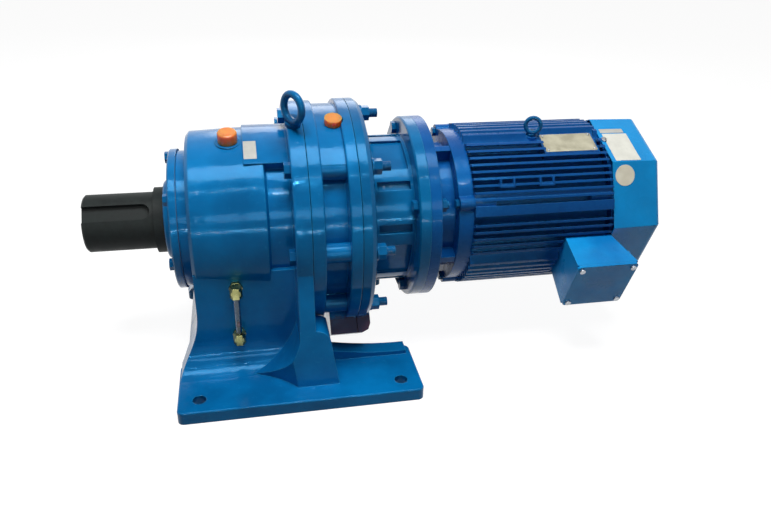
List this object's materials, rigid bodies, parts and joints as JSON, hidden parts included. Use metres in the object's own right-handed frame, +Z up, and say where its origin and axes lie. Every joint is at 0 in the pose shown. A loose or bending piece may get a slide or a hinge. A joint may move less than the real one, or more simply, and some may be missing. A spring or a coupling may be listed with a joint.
{
  "type": "cycloidal gear reducer with flange motor",
  "caption": "Foot-mounted cycloidal speed reducer with a keyed output shaft, a pin gear ring and a flange-mounted finned motor with a terminal box.",
  "frame": {"origin": "centre of the four foot holes, on the underside of the foot", "axes": "+X along the shafts towards the motor, +Z up, -Y to the gauge and terminal box side"},
  "size_m": [0.909, 0.484, 0.4404],
  "materials": {
    "housing_paint": "gloss blue enamel on cast iron",
    "ring_paint": "gloss blue enamel on cast iron",
    "motor_paint": "deep blue enamel on cast iron",
    "sheet_paint": "blue enamel on pressed sheet steel",
    "box_paint": "blue enamel on a pressed box",
    "shaft_steel": "dark oiled turned steel",
    "bearing_steel": "ground hardened steel",
    "gear_steel": "ground hardened steel",
    "bolt_paint": "steel fasteners painted over with the body",
    "screw_steel": "zinc plated steel",
    "brass": "machined brass",
    "glass": "clear glass tube",
    "orange": "orange plastic",
    "seal_rubber": "black rubber",
    "gasket_sheet": "gasket paper",
    "lamination": "stacked electrical steel",
    "winding": "varnished copper winding",
    "fan_plastic": "black moulded plastic",
    "plate": "blank aluminium plate",
    "gland_plastic": "black plastic"
  },
  "bodies": {
    "housing": {"base_housing": "housing_paint", "breather_plug": "orange", "cable_gland": "gland_plastic", "cover_bolts": "bolt_paint", "cover_gasket": "gasket_sheet", "drain_plug": "bolt_paint", "eye_bolt": "bolt_paint", "fan_cover": "sheet_paint", "fan_cover_screws": "screw_steel", "filler_plug": "orange", "front_bearing_outer_ring": "bearing_steel", "gauge_fittings": "brass", "gauge_tube": "glass", "input_bearing_outer_ring": "bearing_steel", "input_oil_seal": "seal_rubber", "lid_screws": "screw_steel", "motor_adaptor": "housing_paint", "motor_bearing_outer_rings": "bearing_steel", "motor_eye_bolt": "bolt_paint", "motor_flange_bolts": "bolt_paint", "motor_flange_nuts": "bolt_paint", "motor_frame": "motor_paint", "motor_front_shield": "motor_paint", "motor_rear_shield": "motor_paint", "nameplate": "plate", "output_cover": "housing_paint", "output_oil_seal": "seal_rubber", "pin_gear_ring": "ring_paint", "rear_bearing_outer_ring": "bearing_steel", "ring_gaskets": "gasket_sheet", "ring_pins": "bearing_steel", "ring_sleeves": "bearing_steel", "shield_screws": "bolt_paint", "stator_core": "lamination", "stator_windings": "winding", "terminal_box": "box_paint", "terminal_box_lid": "box_paint", "through_bolts": "bolt_paint", "through_nuts": "bolt_paint", "through_studs": "bolt_paint", "through_washers": "bolt_paint"},
    "output": {"output_shaft": "shaft_steel", "front_bearing_inner_ring": "bearing_steel", "front_bearing_rollers": "bearing_steel", "rear_bearing_inner_ring": "bearing_steel", "rear_bearing_rollers": "bearing_steel", "drive_pins": "bearing_steel", "drive_rollers": "bearing_steel", "pilot_bearing_cup": "bearing_steel", "pilot_bearing_needles": "bearing_steel"},
    "input": {"input_shaft": "gear_steel", "cam_rollers": "bearing_steel", "input_bearing_inner_ring": "bearing_steel", "input_bearing_rollers": "bearing_steel", "motor_shaft": "gear_steel", "rotor_core": "lamination", "fan": "fan_plastic", "motor_bearing_inner_rings": "bearing_steel"},
    "disc_a": {"cycloid_disc_a": "gear_steel"},
    "disc_b": {"cycloid_disc_b": "gear_steel"}
  },
  "joints": [
    {"name": "output_spin", "type": "hinge", "parent": "housing", "child": "output", "pos_m": [-0.1, 0, 0.22], "axis": [1, 0, 0], "continuous": true},
    {"name": "input_spin", "type": "hinge", "parent": "housing", "child": "input", "pos_m": [0.2, 0, 0.22], "axis": [1, 0, 0], "continuous": true},
    {"name": "disc_a_spin", "type": "hinge", "parent": "input", "child": "disc_a", "pos_m": [0.049, 0.004, 0.22], "axis": [1, 0, 0], "continuous": true},
    {"name": "disc_b_spin", "type": "hinge", "parent": "input", "child": "disc_b", "pos_m": [0.068, -0.004, 0.22], "axis": [1, 0, 0], "continuous": true}
  ],
  "couplings": [
    {"joint": "input_spin", "follows": "output_spin", "ratio": -17},
    {"joint": "disc_a_spin", "follows": "output_spin", "ratio": 18},
    {"joint": "disc_b_spin", "follows": "output_spin", "ratio": 18}
  ]
}
